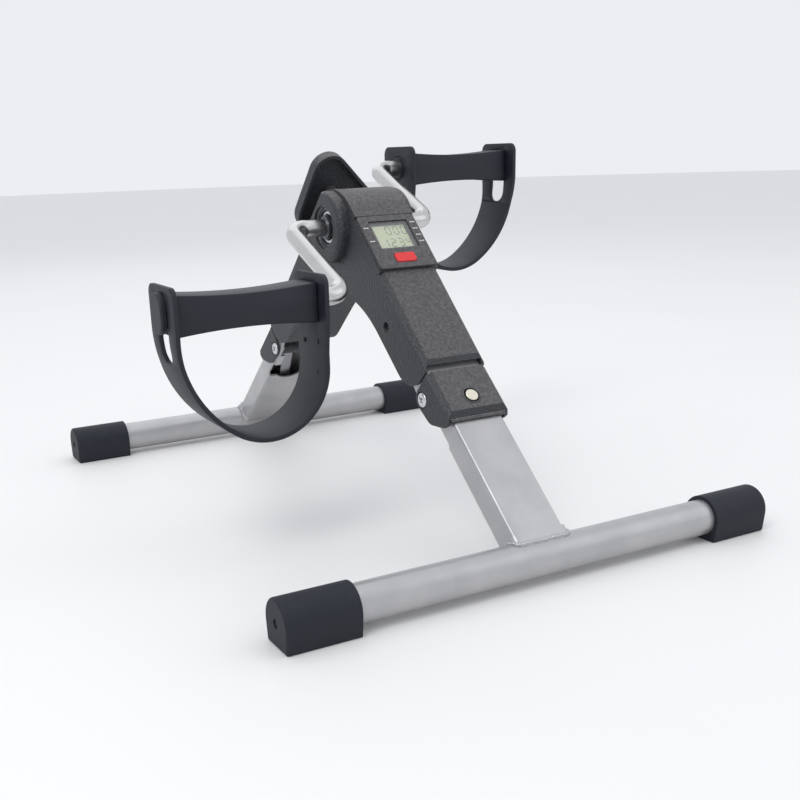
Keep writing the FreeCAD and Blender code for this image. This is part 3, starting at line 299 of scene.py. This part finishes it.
def edit(thing, *steps):
    # edit mode with everything selected
    only(thing)
    bpy.ops.object.mode_set(mode="EDIT")
    bpy.ops.mesh.select_all(action="SELECT")
    for step, settings in steps:
        step(**settings)
    bpy.ops.object.mode_set(mode="OBJECT")


def settle(thing, name, place, material, rides, angle=35):
    # puts the piece in its frame, with its place in its mesh
    thing.name = name
    thing.matrix_world = place @ thing.matrix_world
    only(thing)
    bpy.ops.object.transform_apply(location=True, rotation=True, scale=True)
    smoothBelow(thing, angle)
    thing.data.materials.clear()
    thing.data.materials.append(material)
    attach(thing, rides)


def rescaled(thing, size):
    thing.scale = size
    only(thing)
    bpy.ops.object.transform_apply(location=True, scale=True)
    return thing


def copies(thing, places):
    # copies with their own mesh, joined to one piece; the first is left out
    made = []
    for place in places:
        twin = thing.copy()
        twin.data = thing.data.copy()
        twin.matrix_world = place @ thing.matrix_world
        bpy.context.scene.collection.objects.link(twin)
        made.append(twin)
    bpy.data.objects.remove(thing)
    bpy.ops.object.select_all(action="DESELECT")
    for twin in made:
        twin.select_set(True)
    bpy.context.view_layer.objects.active = made[0]
    bpy.ops.object.join()
    return bpy.context.object


# moulded parts with softened edges, and how wide the softening is
soft = {"left_pedal": 0.0009, "right_pedal": 0.0009, "left_pedal_strap": 0.0005,
        "right_pedal_strap": 0.0005}


def soften(name, width):
    look = {"merge": 0.000002, "sharp": 38, "smooth": 40, "segments": 2}
    piece = bpy.data.objects.new(name + "Soft", frame["nodes"][name].data.copy())
    bpy.context.scene.collection.objects.link(piece)
    edit(piece, (bpy.ops.mesh.remove_doubles, {"threshold": look["merge"]}))
    bevel = piece.modifiers.new("bevel", "BEVEL")
    bevel.width, bevel.segments = width, look["segments"]
    bevel.limit_method, bevel.angle_limit = "ANGLE", math.radians(look["sharp"])
    bevel.use_clamp_overlap = False
    only(piece)
    bpy.ops.object.modifier_apply(modifier="bevel")
    settle(piece, name + "Soft", Matrix.Identity(4), finishes[slotOf[name]], bodyOf[name],
           look["smooth"])
    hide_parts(name)


for name, width in soft.items():
    soften(name, width)
print("softened parts:", len(soft))


def digitBar():
    bar = {"length": 0.0033, "thick": 0.0008, "height": 0.00006}
    bpy.ops.mesh.primitive_cylinder_add(vertices=6, radius=0.5, depth=1)
    return rescaled(bpy.context.object, (bar["length"], bar["thick"], bar["height"]))


def makeDigits():
    look = {"rows": ((0.0378, "000"), (0.0262, "1234")), "right": 0.0118, "pitch": 0.0066,
            "half": 0.0037, "out": -0.00294}
    strokes = {"top": (0, 2, 0), "middle": (0, 0, 0), "bottom": (0, -2, 0), "upLeft": (-1, 1, 90),
               "upRight": (1, 1, 90), "lowLeft": (-1, -1, 90), "lowRight": (1, -1, 90)}
    lit = {"0": "top bottom upLeft upRight lowLeft lowRight", "1": "upRight lowRight",
           "2": "top upRight middle lowLeft bottom", "3": "top upRight middle lowRight bottom",
           "4": "upLeft upRight middle lowRight"}
    places = []
    for height, text in look["rows"]:
        for i, digit in enumerate(reversed(text)):
            x = look["right"] - i * look["pitch"]
            for stroke in lit[digit].split():
                across, up, turned = strokes[stroke]
                spot = Vector((x + across * look["half"] / 2, height + up * look["half"] / 2,
                               look["out"]))
                places.append(Matrix.Translation(spot)
                              @ Matrix.Rotation(math.radians(turned), 4, "Z"))
    settle(copies(digitBar(), places), "displayDigits", displayFrame(), inkBlack, "frame")


def makePanelMarks():
    look = {"left": (-0.0204, (0.0392, 0.0262)),
            "right": (0.0203, (0.0425, 0.0362, 0.0299, 0.0236)), "out": 0.00002, "apart": 0.0011,
            "size": (0.0018, 0.0009, 0.00008), "edge": 0.00003}
    places = []
    for x, rows in (look["left"], look["right"]):
        for row in rows:
            places += [Matrix.Translation((x + step, row, look["out"])) for step in
                       (-look["apart"], look["apart"])]
    bpy.ops.mesh.primitive_cube_add(size=1)
    mark = rescaled(bpy.context.object, look["size"])
    edit(mark, (bpy.ops.mesh.bevel, {"offset": look["edge"], "segments": 1, "affect": "EDGES"}))
    settle(copies(mark, places), "panelMarks", displayFrame(), inkWhite, "frame")


def makeWindowFrame():
    # a shiny dark bezel round the liquid crystal, under the window; its black is partly painted
    # shade, standing in for the shade inside the window's frame
    look = {"width": 0.0312, "height": 0.0254, "middle": 0.03195, "band": 0.0018,
            "out": -0.00278, "thick": 0.0005}
    bpy.ops.mesh.primitive_plane_add(size=1, location=(0, look["middle"], look["out"]))
    bezel = rescaled(bpy.context.object, (look["width"], look["height"], 1))
    edit(bezel, (bpy.ops.mesh.inset, {"thickness": look["band"]}),
         (bpy.ops.mesh.delete, {"type": "FACE"}))
    wall = bezel.modifiers.new("wall", "SOLIDIFY")
    wall.thickness, wall.offset = look["thick"], 1
    bpy.ops.object.modifier_apply(modifier="wall")
    edit(bezel, (bpy.ops.mesh.normals_make_consistent, {"inside": False}))
    settle(bezel, "windowBezel", displayFrame(), finishes["pedal_plastic"], "frame")


makeDigits()
makePanelMarks()
makeWindowFrame()
print("display made")


def roundedLoop(width, depth, corner, pitch):
    # points evenly along a rectangle with round corners
    x, y = width / 2 - corner, depth / 2 - corner
    corners = ((x, y, 0), (-x, y, 90), (-x, -y, 180), (x, -y, 270))
    steps = 4  # chords in each corner
    path = []
    for x, y, start in corners:
        for step in range(steps + 1):
            angle = math.radians(start + step * 90 / steps)
            path.append(Vector((x + corner * math.cos(angle), y + corner * math.sin(angle), 0)))
    points = []
    for here, there in zip(path, path[1:] + path[:1]):
        count = max(1, round((there - here).length / pitch))
        points += [here.lerp(there, i / count) for i in range(count)]
    return points


def makeWeld(end):
    look = {"width": 0.0428, "depth": 0.0226, "corner": 0.0032, "pitch": 0.0021, "tube": 0.0133,
            "drop": 0.0017, "flat": 0.8, "least": 0.004, "waver": 0.0002, "swell": 0.12}
    bpy.ops.mesh.primitive_ico_sphere_add(subdivisions=2, radius=look["drop"])
    drop = bpy.context.object
    edit(drop, (bpy.ops.transform.resize, {"value": (1, 1, look["flat"])}))
    places = []
    for i, point in enumerate(roundedLoop(look["width"], look["depth"], look["corner"],
                                          look["pitch"])):
        along = math.sqrt(max(look["tube"] ** 2 - point.y ** 2, look["least"] ** 2))
        uneven = look["waver"] * math.sin(i * 2.4)
        places.append(Matrix.Translation((point.x, along + uneven, point.y))
                      @ Matrix.Scale(1 + look["swell"] * math.sin(i * 1.7), 4))
    settle(copies(drop, places), end + "WeldBead", legFrame(end), finishes["silver_paint"],
           end + "_leg", 60)


def makeButtonRing(end):
    look = {"along": 0.1224, "front": 0.0163, "radius": 0.00635, "thick": 0.00062, "flat": 0.7}
    bpy.ops.mesh.primitive_torus_add(major_radius=look["radius"], minor_radius=look["thick"],
                                     major_segments=40, minor_segments=10,
                                     location=(0, look["along"], look["front"]))
    ring = bpy.context.object
    edit(ring, (bpy.ops.transform.resize, {"value": (1, 1, look["flat"])}))
    settle(ring, end + "ButtonRing", legFrame(end), finishes["black_plastic"], "frame",
           60)


def makeCoverLip(end):
    # the wedge that closes the cover's slanted face down to the leg
    look = {"width": 0.0446, "near": 0.1060, "far": 0.1079, "low": 0.01012, "high": 0.01200,
            "cut": 0.0018}
    middle = ((look["near"] + look["far"]) / 2, (look["low"] + look["high"]) / 2)
    bpy.ops.mesh.primitive_cube_add(size=1, location=(0, *middle))
    lip = rescaled(bpy.context.object,
                   (look["width"], look["far"] - look["near"], look["high"] - look["low"]))
    corners = lip.data.vertices
    upperEdge = [edge for edge in lip.data.edges
                 if all(corners[v].co.y < middle[0] and corners[v].co.z > middle[1]
                        for v in edge.vertices)]
    bpy.ops.object.mode_set(mode="EDIT")
    bpy.ops.mesh.select_all(action="DESELECT")
    bpy.ops.mesh.select_mode(type="EDGE")
    bpy.ops.object.mode_set(mode="OBJECT")
    for edge in upperEdge:
        edge.select = True
    bpy.ops.object.mode_set(mode="EDIT")
    bpy.ops.mesh.bevel(offset=look["cut"], segments=1, affect="EDGES")
    bpy.ops.mesh.select_mode(type="VERT")
    bpy.ops.object.mode_set(mode="OBJECT")
    settle(lip, end + "CoverLip", legFrame(end), finishes["black_plastic"], "frame")


def makeStrapNubs(side, way):
    # moulded studs on the strap's inner wall
    look = {"wall": 0.0891, "spots": ((-0.010, -0.0285), (0.011, -0.0300), (-0.0075, -0.0500)),
            "radius": 0.0017, "depth": 0.0012, "edge": 0.0004, "proud": 0.0003}
    bpy.ops.mesh.primitive_cylinder_add(vertices=20, radius=look["radius"], depth=look["depth"],
                                        rotation=(0, math.pi / 2, 0))
    nub = bpy.context.object
    edit(nub, (bpy.ops.mesh.bevel, {"offset": look["edge"], "segments": 2, "affect": "EDGES"}))
    out = way * (look["wall"] + look["proud"])
    places = [Matrix.Translation((out, y, z)) for y, z in look["spots"]]
    settle(copies(nub, places), side + "StrapNubs", pedalFrame(way), finishes["strap_plastic"],
           side + "_pedal")


for end in ("front", "rear"):
    makeWeld(end)
    makeButtonRing(end)
    makeCoverLip(end)
for side, way in (("left", -1), ("right", 1)):
    makeStrapNubs(side, way)
print("welds, rings and studs made")


def makeCamera():
    view = {"place": (-0.39935, -0.74124, 0.27108), "azimuth": -27.75, "elevation": 18.46,
            "roll": -1.98, "lens": 47.09, "shift": (0.05, 0.125)}
    azimuth, elevation, roll = (math.radians(view[k]) for k in ("azimuth", "elevation", "roll"))
    right = Vector((math.cos(azimuth), math.sin(azimuth), 0))
    back = Vector((math.sin(azimuth) * math.cos(elevation),
                   -math.cos(azimuth) * math.cos(elevation), math.sin(elevation)))
    up = back.cross(right)
    across = right * math.cos(roll) + up * math.sin(roll)
    upright = up * math.cos(roll) - right * math.sin(roll)
    turn = Matrix((across, upright, back)).transposed().to_4x4()
    data = bpy.data.cameras.new("camera")
    data.lens = view["lens"]
    data.shift_x, data.shift_y = view["shift"]
    camera = bpy.data.objects.new("camera", data)
    camera.matrix_world = Matrix.Translation(view["place"]) @ turn
    bpy.context.scene.collection.objects.link(camera)
    bpy.context.scene.camera = camera


def makeLights():
    lamps = [
        {"name": "keyLight", "place": (-1.1, -0.7, 1.7), "size": 0.8, "power": 10},
        {"name": "rightLight", "place": (1.4, -0.9, 1.2), "size": 1.4, "power": 3},
        {"name": "backLight", "place": (0.3, 1.6, 1.5), "size": 1.6, "power": 4},
        {"name": "topLight", "place": (0.0, 0.0, 2.1), "size": 2.0, "power": 5},
    ]
    for lamp in lamps:
        data = bpy.data.lights.new(lamp["name"], "AREA")
        data.size = lamp["size"]
        data.energy = lamp["power"]
        light = bpy.data.objects.new(lamp["name"], data)
        light.location = lamp["place"]
        aim = Vector((0, 0, 0.1)) - light.location
        light.rotation_euler = aim.to_track_quat("-Z", "Y").to_euler()
        bpy.context.scene.collection.objects.link(light)
    world = bpy.data.worlds.new("studio")
    world.use_nodes = True
    world.node_tree.nodes["Background"].inputs[0].default_value = (0.86, 0.88, 0.92, 1)
    world.node_tree.nodes["Background"].inputs[1].default_value = 0.97
    bpy.context.scene.world = world
    bpy.context.scene.view_settings.view_transform = "Standard"


def makeFloor():
    bpy.ops.mesh.primitive_circle_add(vertices=96, radius=9, fill_type="NGON")
    floor = bpy.context.object
    floor.name = "floor"
    pale = Finish("paleFloor", Roughness=0.5)
    pale.feed("Base Color", pale.blend(pale.noise(3, 3), (0.79, 0.785, 0.78), (0.83, 0.825, 0.82)))
    floor.data.materials.append(pale.material)


makeCamera()
makeLights()
makeFloor()
print("camera, lights and floor made")
